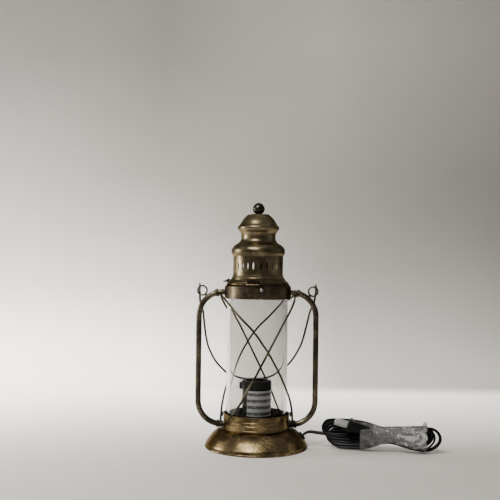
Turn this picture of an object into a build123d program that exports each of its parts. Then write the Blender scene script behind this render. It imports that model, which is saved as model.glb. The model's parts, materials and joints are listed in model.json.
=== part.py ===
from build123d import *
import math
import os

# Ship lantern made into an electric table lamp. Millimetres, +Z up.
# Origin: centre of the underside. -Y is the front (hinge side), +X the side where the cord leaves.

# ---- base -------------------------------------------------------------------------------------
SHEET = 1.0
PAN_WALL = 1.2
RIM_R = 71.1
RIM_WIRE_R = 1.5
RIM_Z = 1.6
LAND_R = 46.4
LAND_Z = 26.4
COVER_R = 68.55
FELT_T = 1.5
FELT_R = (30.0, 66.0)

# ---- gallery, glass and collar ------------------------------------------------------------------
GALLERY_R = 46.4
GALLERY_TOP = 48.2
GLASS_R = 43.0
GLASS_WALL = 3.0
GLASS_TOP = 224.0
COLLAR_R = 47.1
COLLAR_Z = (209.4, 229.0)
SEAT_TOP = 231.0

# ---- side tubes, rings and bail -----------------------------------------------------------------
TUBE_R = 4.0
TUBE_X = 82.9
TUBE_TOP_Z = 218.0
TUBE_LOW_Z = 31.6
TUBE_BENDS = (34.0, 33.0)
RING_X = 78.6
RING_Z = 219.9
RING_R = 6.6
RING_WIRE_R = 1.2
BAIL_X = 82.4
BAIL_WIRE_R = 1.5
BAIL_EYE_R = 4.3
BAIL_EYE_WIRE_R = 1.1
BAIL_EYE_DROP = 2.4
BAIL_LEAN = 21.5
BAIL_SKEW = 0.048
PIVOT_Z = 225.2

# ---- guard wires --------------------------------------------------------------------------------
GUARD_R = 1.5
TIE_WIRE_R = 0.9
TIE_TURNS = (0.0, 1.9)
TIE_TOP_X = 56.5
TIE_LOW_X = 53.4

# ---- lampholder ---------------------------------------------------------------------------------
NIPPLE_R = 5.0
NIPPLE_BORE = 3.4
HOLDER_R = 20.3
HOLDER_RING_R = 21.0
CAP_Z = 29.6
BODY_Z = 52.0
INSULATOR_TOP = 57.0
RING_BAND_Z = (81.0, 94.0)
SHELL_BORE = 13.35

# ---- hood ---------------------------------------------------------------------------------------
FLANGE_Z = 231.3
DRUM_R = 35.4
DRUM_Z = (243.0, 268.8)
SLOTS = 27
SLOT_W = 2.9
SLOT_H = 12.2
SLOT_Z = 255.3
SEAM_GAP = 18.5
SEAM_AT = -2.3
NECK_Z = 296.8
CROWN_TOP = 327.2
DISC_R = 14.8
DISC_T = 1.2
WASHER_R = 6.4
WASHER_T = 0.8
BALL_R = 8.5
BALL_Z = 336.4
STUD_R = 1.95

# ---- hood hinge, catch and lift tab ---------------------------------------------------------------
HINGE_AT = -9.3
HINGE_R = 48.3
HINGE_Z = 229.3
KNUCKLE_R = 1.9
KNUCKLE_W = (7.0, 4.8)
KNUCKLE_GAP = 0.2
PIN_R = 0.9
PIN_FIT = 0.05
LEAF_T = 1.4

# ---- cord, hank and plug --------------------------------------------------------------------------
CORD_R = 2.05
GROMMET = (64.5, 0.0, 15.6)
GROMMET_TILT = 38.7
HANK_FROM = (93.0, -5.0)
HANK_YAW = -11.7
HANK_T = 20.0
HANK_OUTLINE = [
    (0, 23), (0.8, 30.5), (4, 37), (11, 40.3), (22, 41), (40, 40.3), (56, 38), (70, 34.8), (86, 33.8),
    (102, 34.6), (120, 36.6), (140, 36.6), (155, 34), (162.5, 27.5), (164.5, 20), (160.5, 11.5),
    (151, 5.2), (140, 2.8), (128, 3.8), (114, 8.6), (99, 12.6), (84, 12.4), (72, 6.6), (60, 3.0),
    (42, 2.4), (24, 3.8), (12, 8.6), (3.2, 16),
]
WRAP_SPAN = (50.0, 146.0)
WRAP_T = 0.8
PLUG_AT = (37.5, 36.0, 9.0)
PLUG_TILT = -12.5


def line_set_in(line, wall):
    """The line moved to its left-hand side by the wall, mitred at each of its points."""
    moved = []
    for i, point in enumerate(line):
        before = line[max(i - 1, 0)]
        after = line[min(i + 1, len(line) - 1)]
        sides = []
        for a, b in ((before, point), (point, after)):
            run = math.dist(a, b)
            if run > 0:
                sides.append(((a[1] - b[1]) / run, (b[0] - a[0]) / run))
        nx = sum(side[0] for side in sides)
        ny = sum(side[1] for side in sides)
        size = math.hypot(nx, ny)
        miter = wall * len(sides) / size
        moved.append((point[0] + nx / size * miter, point[1] + ny / size * miter))
    return moved


def spun(outline):
    """Solid of revolution about Z from a closed outline of (radius, height) points."""
    return revolve(Plane.XZ * make_face(Polyline(*outline, close=True)), Axis.Z)


def spun_shell(line, wall):
    """Spun sheet metal: a smooth outer line from the outside edge inwards, with an even wall."""
    inner = line_set_in(line, wall)
    edges = Spline(*line) + Line(line[-1], inner[-1]) + Spline(*inner[::-1]) + Line(inner[0], line[0])
    return revolve(Plane.XZ * make_face(edges), Axis.Z)


def tube_between(z_low, z_high, r_out, r_in=0.0):
    """Upright cylinder between two heights, bored if r_in is given."""
    solid = Cylinder(r_out, z_high - z_low, align=(Align.CENTER, Align.CENTER, Align.MIN))
    if r_in > 0:
        solid -= Cylinder(r_in, z_high - z_low, align=(Align.CENTER, Align.CENTER, Align.MIN))
    return Pos(0, 0, z_low) * solid


def bend_radii(points):
    """Radius of the arc at each inner point, as large as the two runs beside it allow."""
    radii = []
    for a, b, c in zip(points, points[1:], points[2:]):
        run_in = Vector(*b) - Vector(*a)
        run_out = Vector(*c) - Vector(*b)
        half_turn = math.radians(run_in.get_angle(run_out) / 2)
        radii.append(0.45 * min(run_in.length, run_out.length) / math.tan(half_turn))
    return radii


def wire_path(points):
    """Straight runs joined by tangent arcs."""
    return FilletPolyline(*points, radius=bend_radii(points))


def wire(points, radius):
    """Round wire along the points."""
    path = wire_path(points)
    section = Plane(origin=path @ 0, z_dir=path % 0) * Circle(radius)
    return sweep(section, path)


def facing(azimuth, radius, height):
    """Frame on the lantern's side: X to the right, Y up, Z outwards. Azimuth 0 is the front."""
    angle = math.radians(azimuth)
    outward = Vector(math.sin(angle), -math.cos(angle), 0)
    return Plane(
        origin=outward * radius + Vector(0, 0, height),
        x_dir=(math.cos(angle), math.sin(angle), 0),
        z_dir=outward,
    )


def both_sides(make):
    """The piece made for the right side and for the left side, as one group."""
    return Compound(children=[make(1), make(-1)])


# ---- base ---------------------------------------------------------------------------------------
def grommet_plane():
    tilt = math.radians(GROMMET_TILT)
    return Plane(origin=GROMMET, x_dir=(0, 1, 0), z_dir=(math.cos(tilt), 0, math.sin(tilt)))


def along_grommet(radius, start, end):
    """Cylinder on the grommet's axis, from start to end outwards."""
    shape = Cylinder(radius, end - start, align=(Align.CENTER, Align.CENTER, Align.MIN))
    return grommet_plane() * Pos(0, 0, start) * shape


def base_pan():
    dome = [
        (71.6, 2.7), (70.9, 6.2), (68.4, 10.2), (64.9, 15.1), (60.4, 20.2), (55.4, 24.2), (LAND_R, LAND_Z),
    ]
    shell = spun_shell(dome, PAN_WALL)
    land = tube_between(LAND_Z - PAN_WALL, LAND_Z, LAND_R + 0.2, NIPPLE_R + 0.05)
    rim = Pos(0, 0, RIM_Z) * Torus(RIM_R, RIM_WIRE_R)
    return shell + land + rim - along_grommet(4.6, -8, 8)


def bottom_cover():
    return tube_between(FELT_T, FELT_T + 1.2, COVER_R)


def felt_pad():
    return tube_between(0, FELT_T, FELT_R[1], FELT_R[0])


def cord_grommet(pan):
    solid = along_grommet(6.2, -0.8, 2.4) + along_grommet(4.5, -4.5, 1) + along_grommet(5.7, -4.5, -1.0)
    outward = grommet_plane().z_dir
    edge = solid.edges().group_by(lambda e: (e.center() - Vector(*GROMMET)).dot(outward))[-1]
    return fillet(edge, 0.9) - pan


def cord_stop():
    """Sleeve crimped on the cord behind the grommet."""
    return along_grommet(3.8, -8.5, -4.5) - along_grommet(CORD_R, -9, -4)


def inner_cord():
    """The cord inside the base, from the grommet up through the nipple."""
    axis = grommet_plane().z_dir
    start = Vector(*GROMMET) - axis * 4.5
    turn = start - axis * 6.5
    points = [
        tuple(start), tuple(turn), (44, 0, 8.2), (26, 0, 8.6), (8, 0, 11.2),
        (0, 0, 19), (0, 0.02, 30), (0, 0, BODY_Z),
    ]
    return wire(points, CORD_R)


# ---- gallery, glass and collar --------------------------------------------------------------------
def gallery_cup():
    line = [(44.9, LAND_Z), (45.8, LAND_Z), (GALLERY_R, LAND_Z + 0.8)]
    for bead_z in (29.3, 35.5, 40.3):
        line += [(GALLERY_R, bead_z - 0.5), (GALLERY_R + 0.35, bead_z), (GALLERY_R, bead_z + 0.5)]
    line += [(GALLERY_R, 46.9), (GALLERY_R + 0.6, 47.5), (GALLERY_R, GALLERY_TOP)]
    floor_z = LAND_Z + SHEET
    inner = GALLERY_R - SHEET
    inside = [(inner, GALLERY_TOP), (inner, floor_z), (NIPPLE_R + 0.05, floor_z), (NIPPLE_R + 0.05, LAND_Z)]
    return spun(line + inside)


def gallery_clips(cup):
    """Small tabs on the rim that hold the glass."""

    def clip(side):
        return Pos(side * 47.6, 0, 45.6) * Box(3.0, 5.0, 6.2) - tube_between(40, 50, GALLERY_R + 0.6)

    return both_sides(clip)


def chimney_glass():
    return tube_between(LAND_Z + SHEET, GLASS_TOP, GLASS_R, GLASS_R - GLASS_WALL)


def collar_band():
    low, top = COLLAR_Z
    inner = COLLAR_R - SHEET
    outside = [(COLLAR_R, low), (COLLAR_R, 226.5), (44.0, top)]
    return spun([(inner, low), *outside, (42.4, top), (inner, 225.8)])


def collar_seat():
    """Rolled bead that the hood closes on."""
    low = COLLAR_Z[1]
    bead = [(44.2, low), (44.7, 229.6), (44.7, 230.4), (44.2, SEAT_TOP)]
    return spun([(39.6, low), *bead, (39.6, SEAT_TOP)])


def collar_screw():
    head = facing(5.3, COLLAR_R - 1.2, 222.3) * Sphere(3.0)
    slot = facing(5.3, COLLAR_R + 1.9, 222.3) * Rot(0, 0, 35) * Box(6, 0.6, 1.0)
    return head - tube_between(200, 240, COLLAR_R) - slot


# ---- side tubes, rings, guard -----------------------------------------------------------------------
def side_tube(side):
    start = (side * 44, 0, TUBE_TOP_Z)
    corners = [(side * TUBE_X, 0, TUBE_TOP_Z), (side * TUBE_X, 0, TUBE_LOW_Z)]
    path = FilletPolyline(start, *corners, (side * 44, 0, TUBE_LOW_Z), radius=list(TUBE_BENDS))
    tube = sweep(Plane(origin=path @ 0, z_dir=path % 0) * Circle(TUBE_R), path)
    return tube - tube_between(205, 230, COLLAR_R) - tube_between(20, 50, GALLERY_R + 0.35)


def eye_ring(side, tube):
    """Wire ring on the shoulder of the tube, with the foot it is soldered on."""
    ring = Pos(side * RING_X, 0, RING_Z) * Rot(90, 0, 0) * Torus(RING_R, RING_WIRE_R)
    bend = Vector(side * (TUBE_X - TUBE_BENDS[0]), 0, TUBE_TOP_Z - TUBE_BENDS[0])
    outward = (Vector(side * RING_X, 0, RING_Z) - bend).normalized()
    foot_plane = Plane(origin=bend + outward * (TUBE_BENDS[0] + 2.5), z_dir=outward)
    foot = foot_plane * Cone(2.6, 1.5, 3.4, align=(Align.CENTER, Align.CENTER, Align.MIN))
    return ring + foot - tube


def guard_wires():
    """Four wires round the glass: two cross in front and two behind."""
    top_x, top_y, top_z = 53.3, 5.7, 216.0
    end_x, end_y, end_z = 50.1, 5.7, 31.4
    front_under = [
        (-top_x, -top_y, top_z), (-50.6, -13.5, 213.0), (-45.2, -22.5, 207.6), (-34.0, -38.5, 195.5),
        (-20.5, -47.5, 181.0), (-5.5, -50.5, 166.5), (15.5, -48.8, 136.6), (29.6, -41.4, 110.4),
        (39.6, -31.6, 88.0), (46.2, -21.2, 70.4), (49.9, -10.4, 52.3), (50.6, -6.2, 40.0),
        (end_x, -end_y, end_z),
    ]
    front_over = [
        (top_x, -top_y, top_z), (52.0, -12.5, 208.0), (45.5, -26.5, 193.5), (33.6, -41.0, 173.5),
        (14.3, -52.6, 137.3), (-3.3, -54.0, 103.2), (-12.8, -52.6, 86.5), (-20.6, -50.2, 70.5),
        (-32.5, -42.3, 51.2), (-42.0, -30.0, 39.5), (-48.4, -15.6, 33.0), (-end_x, -end_y, end_z),
    ]
    back_under = [
        (-top_x, top_y, top_z), (-51.8, 11.5, 209.5), (-46.2, 23.0, 197.0), (-31.0, 42.2, 175.5),
        (-14.2, 49.4, 144.7), (3.8, 50.0, 110.2), (13.2, 48.8, 91.8), (23.4, 46.6, 72.8),
        (34.2, 39.8, 48.6), (44.2, 26.6, 37.4), (49.0, 14.0, 32.6), (end_x, end_y, end_z),
    ]
    back_over = [
        (top_x, top_y, top_z), (51.0, 17.5, 212.0), (39.6, 35.4, 202.5), (18.6, 50.6, 180.8),
        (-1.5, 54.6, 162.0), (-15.6, 53.6, 142.0), (-26.6, 48.2, 123.8), (-34.2, 41.2, 106.4),
        (-40.4, 34.0, 88.8), (-46.2, 23.6, 73.6), (-49.6, 11.0, 53.6), (-50.6, 6.6, 41.0),
        (-end_x, end_y, end_z),
    ]
    return [wire(points, GUARD_R) for points in (front_under, front_over, back_under, back_over)]


def guard_ties():
    """Turns of thin wire round the tubes that bind the guard's ends."""
    turn = Torus(TUBE_R + TIE_WIRE_R + 0.05, TIE_WIRE_R)

    def turn_round(side, x, bend_z, bend_r, up):
        reach = x - (TUBE_X - bend_r)
        rise = up * math.sqrt(bend_r ** 2 - reach ** 2)
        radial = Vector(side * reach, 0, rise)
        along = radial.cross(Vector(0, 1, 0))
        return Plane(origin=(side * x, 0, bend_z + rise), x_dir=radial, z_dir=along) * turn

    top_bend, low_bend = TUBE_BENDS
    turns = []
    for side in (1, -1):
        for step in TIE_TURNS:
            turns.append(turn_round(side, TIE_TOP_X + step, TUBE_TOP_Z - top_bend, top_bend, 1))
            turns.append(turn_round(side, TIE_LOW_X + step, TUBE_LOW_Z + low_bend, low_bend, -1))
    return Compound(children=turns)


def bail_handle():
    """Wire handle made hanging straight down, then leaned back about the line through both rings."""
    eye_end = BAIL_EYE_DROP + BAIL_EYE_R
    side_run = [(16.0, 147.0), (34.5, 141.0), (48.5, 127.0), (57.2, 115.7), (68.4, 91.7), (73.6, 61.0)]
    side_run += [(76.4, 37.0), (81.6, 24.0), (BAIL_X, eye_end)]
    left = [(-x - BAIL_SKEW * (drop - eye_end), 0, -drop) for x, drop in side_run[::-1]]
    right = [(x - BAIL_SKEW * (drop - eye_end), 0, -drop) for x, drop in side_run]
    bar = wire(left + right, BAIL_WIRE_R)

    def eye(side):
        r, drop = BAIL_EYE_R, BAIL_EYE_DROP
        loop = Line((r, 0), (r, -drop)) + ThreePointArc((r, -drop), (0, -drop - r), (-r, -drop))
        loop += Line((-r, -drop), (-r, 0)) + ThreePointArc((-r, 0), (0, r), (r, 0))
        path = Plane.YZ * loop
        start = Plane(origin=(0, r, 0), z_dir=(0, 0, 1))
        return Pos(side * BAIL_X, 0, 0) * sweep(start * Circle(BAIL_EYE_WIRE_R), path.wire())

    bail = bar + eye(1) + eye(-1)
    return Pos(0, 0, PIVOT_Z) * Rot(BAIL_LEAN, 0, 0) * bail


# ---- lampholder -----------------------------------------------------------------------------------
def base_nipple():
    return tube_between(19.0, 36.0, NIPPLE_R, NIPPLE_BORE)


def nipple_nut():
    nut = extrude(RegularPolygon(8.0, 6, major_radius=True), 3.0) - Cylinder(NIPPLE_R, 20)
    return Pos(0, 0, LAND_Z - PAN_WALL - 3.0) * nut


def nipple_washer():
    return tube_between(LAND_Z + SHEET, CAP_Z, 14.0, NIPPLE_R + 0.05)


def holder_cap():
    r = HOLDER_R
    bore = NIPPLE_R + 0.05
    outside = [(bore, CAP_Z), (14.0, CAP_Z), (17.8, 31.0), (19.6, 33.6), (r, 37.5), (r, BODY_Z)]
    inside = [(17.5, BODY_Z), (17.5, 38.0), (16.8, 34.6), (13.5, 32.2), (bore, 32.2)]
    return spun(outside + inside)


def holder_body():
    """Barrel of the holder, with the shallow ribs of its grip."""
    r = HOLDER_R
    top = RING_BAND_Z[0]
    foot = INSULATOR_TOP
    barrel = spun([(18.7, BODY_Z), (r, BODY_Z), (r, top), (17.2, top), (17.2, foot), (18.7, foot)])
    groove = Pos(0, 0, 54.0) * Torus(r + 0.3, 0.7)
    return barrel - groove


def holder_ring():
    low, top = RING_BAND_Z
    r = HOLDER_RING_R
    return spun([
        (19.4, low), (r - 0.4, low), (r, low + 0.5), (r, top - 1.2), (r - 1.0, top),
        (16.2, top), (16.2, top - 1.6), (19.4, top - 1.6),
    ])


def screw_shell():
    """Threaded metal shell that takes the bulb, with its foot on the insulator."""
    r = SHELL_BORE
    foot = INSULATOR_TOP
    flange = [(r, foot), (16.9, foot), (16.9, foot + 0.7), (r + 0.6, foot + 0.7)]
    return spun(flange + [(r + 0.6, 86.0), (r, 86.0)])


def holder_insulator():
    cord_hole = CORD_R + 0.4
    recess = 6.3
    step = BODY_Z + 1.6
    return spun([
        (cord_hole, BODY_Z), (18.6, BODY_Z), (18.6, INSULATOR_TOP),
        (recess, INSULATOR_TOP), (recess, step), (cord_hole, step),
    ])


def centre_contact():
    """Domed contact, set into the insulator."""
    low = BODY_Z + 1.6
    return spun([
        (3.2, low), (6.0, low), (6.0, low + 0.8), (3.6, low + 2.4), (0, low + 3.0),
        (0, low + 2.2), (3.2, low + 1.6),
    ])


def holder_lug_screw():
    """Small clamp lug on the left of the ring, with a screw head on its end."""
    lug = Pos(-22.4, 0, 86.2) * Box(4.0, 6.4, 9.4) - tube_between(70, 100, HOLDER_RING_R)
    return lug - Pos(-24.2, 0, 86.2) * Rot(0, 90, 0) * (Cylinder(2.4, 1.2) - Cylinder(1.9, 1.2))


def holder_label():
    """Blank label wrapped round the front and right of the holder."""
    r = HOLDER_R + 0.02
    low, top = 45.5, RING_BAND_Z[0] - 0.4
    outline = [(r, low), (r + 0.2, low), (r + 0.2, top), (r, top)]
    face = Plane.XZ * make_face(Polyline(*outline, close=True))
    return Rot(0, 0, -131) * revolve(face, Axis.Z, 131)


# ---- hood -----------------------------------------------------------------------------------------
def hood_flange():
    r = DRUM_R
    outside = [(42.4, FLANGE_Z), (42.8, FLANGE_Z + 0.6), (42.5, 232.6), (39.6, 235.2), (38.2, 236.6)]
    beads = [(38.2, 237.3), (37.2, 238.2), (36.8, 239.4), (37.0, 240.2), (36.4, 240.9), (35.7, 241.5)]
    inside = [(r - SHEET, DRUM_Z[0]), (r - SHEET, 240.9), (35.4, 238.4), (38.2, 234.6), (41.0, FLANGE_Z)]
    return spun(outside + beads + [(r, DRUM_Z[0])] + inside)


def hood_drum():
    drum = tube_between(*DRUM_Z, DRUM_R, DRUM_R - SHEET)
    half_w, half_h = SLOT_W / 2, SLOT_H / 2
    lens = ThreePointArc((0, -half_h), (half_w, 0), (0, half_h))
    lens += ThreePointArc((0, half_h), (-half_w, 0), (0, -half_h))
    pitch = (360 - SEAM_GAP) / (SLOTS - 1)
    cutters = []
    for i in range(SLOTS):
        azimuth = SEAM_AT + SEAM_GAP / 2 + i * pitch
        cutters.append(extrude(facing(azimuth, DRUM_R - 3, SLOT_Z) * make_face(lens), 6))
    return drum - cutters


def hood_crown():
    """Spun crown of the hood, from the drum up to the cap disc."""
    line = [
        (35.7, DRUM_Z[1]), (36.0, 270.0), (37.4, 272.3), (38.1, 276.0), (36.9, 280.6), (33.2, 284.6),
        (27.8, 288.2), (24.9, 292.2), (24.4, NECK_Z), (25.3, 301.9), (28.0, 305.4), (29.4, 308.0),
        (29.2, 310.8), (27.2, 313.0), (25.6, 315.2), (23.4, 319.2), (19.6, 324.0), (16.2, CROWN_TOP),
    ]
    crown = spun_shell(line, SHEET) - tube_between(CROWN_TOP, CROWN_TOP + 3, 30)
    return crown - tube_between(266, DRUM_Z[1], 40)


def hood_shoulder(crown):
    return crown & tube_between(DRUM_Z[1], NECK_Z, 50)


def hood_top(crown):
    return crown & tube_between(NECK_Z, CROWN_TOP, 50)


def cap_disc():
    low = CROWN_TOP
    top = low + DISC_T
    r = DISC_R
    return spun([(STUD_R + 0.1, low), (r + 0.9, low), (r + 0.9, low + 0.4), (r, top), (STUD_R + 0.1, top)])


def finial_washer():
    low = CROWN_TOP + DISC_T
    return tube_between(low, low + WASHER_T, WASHER_R, STUD_R + 0.1)


def finial_ball():
    seat = CROWN_TOP + DISC_T + WASHER_T
    ball = Pos(0, 0, BALL_Z) * Sphere(BALL_R) - tube_between(BALL_Z - 12, seat, 12)
    return ball - tube_between(seat - 1, BALL_Z - 1.6, STUD_R)


def finial_stud():
    return tube_between(CROWN_TOP - 6.0, BALL_Z - 1.6, STUD_R)


def finial_nut():
    nut = extrude(RegularPolygon(4.0, 6, major_radius=True), 3.2) - Cylinder(STUD_R, 20)
    return Pos(0, 0, CROWN_TOP - 3.2) * nut


def lift_tab(flange):
    """Pointed thumb tab on the left of the hood's flange."""
    low = FLANGE_Z + 0.8
    outline = [(-39.0, 237.2), (-42.0, low), (-49.2, low), (-49.8, 233.2), (-41.5, 237.0)]
    tab = extrude(Plane.XZ * make_face(Polyline(*outline, close=True)), 3.0, both=True)
    return tab - flange


# ---- hinge and catch --------------------------------------------------------------------------------
def hinge_plane():
    return facing(HINGE_AT, HINGE_R, HINGE_Z)


def hinge_rod(radius, offset, length):
    """Cylinder on the hinge's axis, centred at the offset to the right."""
    return hinge_plane() * Pos(offset, 0, 0) * Rot(0, 90, 0) * Cylinder(radius, length)


def hinge_leaf_collar():
    """Shield-shaped leaf on the collar, with a raised block below the neck of the middle knuckle."""
    half_neck = KNUCKLE_W[0] / 2
    neck = [(half_neck, 0), (half_neck, -2.8)]
    right = neck + [(8.9, -3.4), (8.9, -9.6), (7.4, -13.6), (4.2, -17.6), (0, -20.2)]
    left = [(-x, y) for x, y in right[-2::-1]]
    shield = make_face(Polyline(*right, *left, close=True))
    prism = extrude(hinge_plane() * Pos(0, 0, -4) * shield, 6)
    leaf = prism & tube_between(205, 230, COLLAR_R + LEAF_T, COLLAR_R)
    block = hinge_plane() * Pos(0, -6.6, 0) * Box(11.5, 5.0, 2.6)
    block -= tube_between(200, 230, COLLAR_R + LEAF_T - 0.3)
    return leaf + block + hinge_rod(KNUCKLE_R, 0, KNUCKLE_W[0]) - hinge_rod(PIN_R + PIN_FIT, 0, 30)


def hinge_leaf_hood(flange):
    """Leaf on the hood's flange, with the two outer knuckles."""
    middle, outer = KNUCKLE_W
    offset = middle / 2 + KNUCKLE_GAP + outer / 2
    profile = Polyline(
        (0.4, 1.0), (0, 1.9), (-3.2, 3.3), (-7.4, 6.7), (-8.8, 5.8), (-5.4, 2.5), (-1.0, 0.9), close=True,
    )
    side_plane = Plane(origin=hinge_plane().origin, x_dir=hinge_plane().z_dir, z_dir=-hinge_plane().x_dir)
    plate = extrude(side_plane * make_face(profile), middle / 2 + KNUCKLE_GAP + outer, both=True)
    leaf = plate + hinge_rod(KNUCKLE_R, offset, outer) + hinge_rod(KNUCKLE_R, -offset, outer)
    clearance = hinge_rod(KNUCKLE_R + 0.35, 0, middle + 2 * KNUCKLE_GAP)
    return leaf - clearance - hinge_rod(PIN_R + PIN_FIT, 0, 30) - flange


def hinge_pin():
    length = KNUCKLE_W[0] + 2 * (KNUCKLE_W[1] + KNUCKLE_GAP)
    pin = hinge_rod(PIN_R, 0, length + 0.4)
    for side in (1, -1):
        pin += hinge_plane() * Pos(side * (length / 2 + 0.6), 0, 0) * Rot(0, 90, 0) * Cylinder(1.3, 0.8)
    return pin


def hinge_rivets():
    """Rivet heads on the shield leaf."""
    heads = []
    for azimuth, drop in ((-7.6, 11.4), (7.6, 11.4), (0, 16.4)):
        head = facing(HINGE_AT + azimuth, COLLAR_R + LEAF_T - 0.7, HINGE_Z - drop) * Sphere(1.5)
        heads.append(head - tube_between(200, 230, COLLAR_R + LEAF_T))
    return Compound(children=heads)


def catch_tongue(flange):
    """Springy tongue at the back of the hood: its open fork drops over the collar's stud."""
    back = facing(180, 0, 0)
    profile = Polyline(
        (40.4, 235.0), (42.9, 232.6), (47.4, 230.4), (47.6, 213.6),
        (48.4, 213.6), (48.4, 231.0), (43.4, 233.6), (41.2, 236.0), close=True,
    )
    side_plane = Plane(origin=(0, 0, 0), x_dir=back.z_dir, z_dir=-back.x_dir)
    strip = extrude(side_plane * make_face(profile), 4.5, both=True)
    fork = Pos(0, 48, 214.6) * Box(3.9, 4, 7.0)
    return strip - fork - flange


def catch_stud():
    return back_pin(1.6, COLLAR_R - 0.4, COLLAR_R + 3.0, 215.9) - tube_between(200, 230, COLLAR_R)


def back_pin(radius, start, end, height):
    """Pin that points out of the back of the lantern."""
    return Pos(0, (start + end) / 2, height) * Rot(90, 0, 0) * Cylinder(radius, end - start)


# ---- cord, hank and plug ------------------------------------------------------------------------------
def hank_plane():
    """Frame of the hank: X along it from the end near the lantern, Y up, Z towards the front."""
    yaw = math.radians(HANK_YAW)
    return Plane(
        origin=(*HANK_FROM, 0),
        x_dir=(math.cos(yaw), math.sin(yaw), 0),
        z_dir=(math.sin(yaw), -math.cos(yaw), 0),
    )


def cord_lead():
    """The cord from the grommet to the hank. The radii of its bends are printed."""
    axis = grommet_plane().z_dir
    start = Vector(*GROMMET) + axis * 2.4
    first = start + axis * 4.2
    points = [
        tuple(start), tuple(first), (74.6, -0.7, 21.9), (80.8, -2.0, 21.7),
        (87.4, -3.4, 21.0), (94.6, -5.4, 20.9),
    ]
    length = wire_path(points).length
    print("cord_lead radii", [round(r, 1) for r in bend_radii(points)], "length", round(length, 1))
    return wire(points, CORD_R)


def hank_outline(grow):
    """Bow-tie outline of the tied hank, standing on edge, grown outwards by the given amount."""
    ring = [HANK_OUTLINE[-1], *HANK_OUTLINE, HANK_OUTLINE[0]]
    return make_face(Spline(*line_set_in(ring, grow)[1:-1], periodic=True))


def cord_hank(pieces):
    """Outer shape of the whole coil of cord."""
    hank = extrude(hank_plane() * hank_outline(0), HANK_T / 2, both=True)
    for piece in pieces:
        hank -= piece
    return max(hank.solids(), key=lambda solid: solid.volume)


def cord_wrap(pieces):
    """Clear film wound round the middle of the hank."""
    film = extrude(hank_plane() * hank_outline(WRAP_T), HANK_T / 2 + WRAP_T, both=True)
    start, end = WRAP_SPAN
    film = film & hank_plane() * Pos((start + end) / 2, 25, 0) * Box(end - start, 60, 60)
    for piece in pieces:
        film -= piece
    return max(film.solids(), key=lambda solid: solid.volume)


def plug_place():
    """Place of the plug: X along it towards its cord, Y up across it, Z towards the front."""
    return hank_plane() * Pos(*PLUG_AT) * Rot(0, 0, PLUG_TILT)


def plug_body():
    """Flat two-pin plug body with a raised flange, narrowing towards its cord."""
    top = [(0, -13.5), (4, -13.5), (12, -10.0), (32, -6.5), (32, 6.5), (12, 10.0), (4, 13.5), (0, 13.5)]
    upper = [(34, 5.0), (14, 7.5), (4.8, 7.5), (4.0, 9.4), (0, 9.4)]
    side = [(x, -y) for x, y in upper[::-1]] + upper
    seen_from_top = extrude(Rot(90, 0, 0) * make_face(Polyline(*top, close=True)), 20, both=True)
    seen_from_side = extrude(make_face(Polyline(*side, close=True)), 30, both=True)
    return plug_place() * (seen_from_top & seen_from_side)


def plug_pins():
    pins = []
    for side in (1, -1):
        pin = Cylinder(2.0, 17, align=(Align.CENTER, Align.CENTER, Align.MIN))
        pins.append(plug_place() * Pos(0, 0, side * 9.3) * Rot(0, -90, 0) * pin)
    return Compound(children=pins)


def pin_cover():
    """Moulded cap pushed over the pins."""
    block = fillet(Box(19, 9.5, 24).edges(), 1.6)
    bores = [Pos(1.2, 0, side * 9.3) * Rot(0, 90, 0) * Cylinder(2.0, 19) for side in (1, -1)]
    return plug_place() * Pos(-9.6, 0, 0) * (block - bores)


# ---- assembly -------------------------------------------------------------------------------------
def build():
    pan = base_pan()
    cup = gallery_cup()
    flange = hood_flange()
    tubes = {1: side_tube(1), -1: side_tube(-1)}
    wires = guard_wires()
    lead = cord_lead()
    body = plug_body()
    pins = plug_pins()
    cover = pin_cover()
    hank = cord_hank([lead, body, pins, cover])
    crown = hood_crown()
    nodes = {
        "base_pan": pan,
        "bottom_cover": bottom_cover(),
        "felt_pad": felt_pad(),
        "cord_grommet": cord_grommet(pan),
        "cord_stop": cord_stop(),
        "inner_cord": inner_cord(),
        "gallery_cup": cup,
        "gallery_clips": gallery_clips(cup),
        "base_nipple": base_nipple(),
        "nipple_nut": nipple_nut(),
        "nipple_washer": nipple_washer(),
        "holder_cap": holder_cap(),
        "holder_body": holder_body(),
        "holder_ring": holder_ring(),
        "screw_shell": screw_shell(),
        "holder_insulator": holder_insulator(),
        "centre_contact": centre_contact(),
        "holder_lug_screw": holder_lug_screw(),
        "holder_label": holder_label(),
        "chimney_glass": chimney_glass(),
        "collar_band": collar_band(),
        "collar_seat": collar_seat(),
        "collar_screw": collar_screw(),
        "side_tube_right": tubes[1],
        "side_tube_left": tubes[-1],
        "eye_ring_right": eye_ring(1, tubes[1]),
        "eye_ring_left": eye_ring(-1, tubes[-1]),
        "guard_wire_front_under": wires[0],
        "guard_wire_front_over": wires[1],
        "guard_wire_back_under": wires[2],
        "guard_wire_back_over": wires[3],
        "guard_ties": guard_ties(),
        "hinge_leaf_collar": hinge_leaf_collar(),
        "hinge_pin": hinge_pin(),
        "hinge_rivets": hinge_rivets(),
        "catch_stud": catch_stud(),
        "hood_flange": flange,
        "hood_drum": hood_drum(),
        "hood_shoulder": hood_shoulder(crown),
        "hood_top": hood_top(crown),
        "cap_disc": cap_disc(),
        "finial_washer": finial_washer(),
        "finial_ball": finial_ball(),
        "finial_stud": finial_stud(),
        "finial_nut": finial_nut(),
        "lift_tab": lift_tab(flange),
        "hinge_leaf_hood": hinge_leaf_hood(flange),
        "catch_tongue": catch_tongue(flange),
        "bail_handle": bail_handle(),
        "cord_lead": lead,
        "cord_hank": hank,
        "cord_wrap": cord_wrap([hank, body, pins, cover]),
        "plug_body": body,
        "plug_pins": pins,
        "pin_cover": cover,
    }
    os.makedirs("parts", exist_ok=True)
    for name, shape in nodes.items():
        export_step(shape, f"parts/{name}.step")


build()
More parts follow.
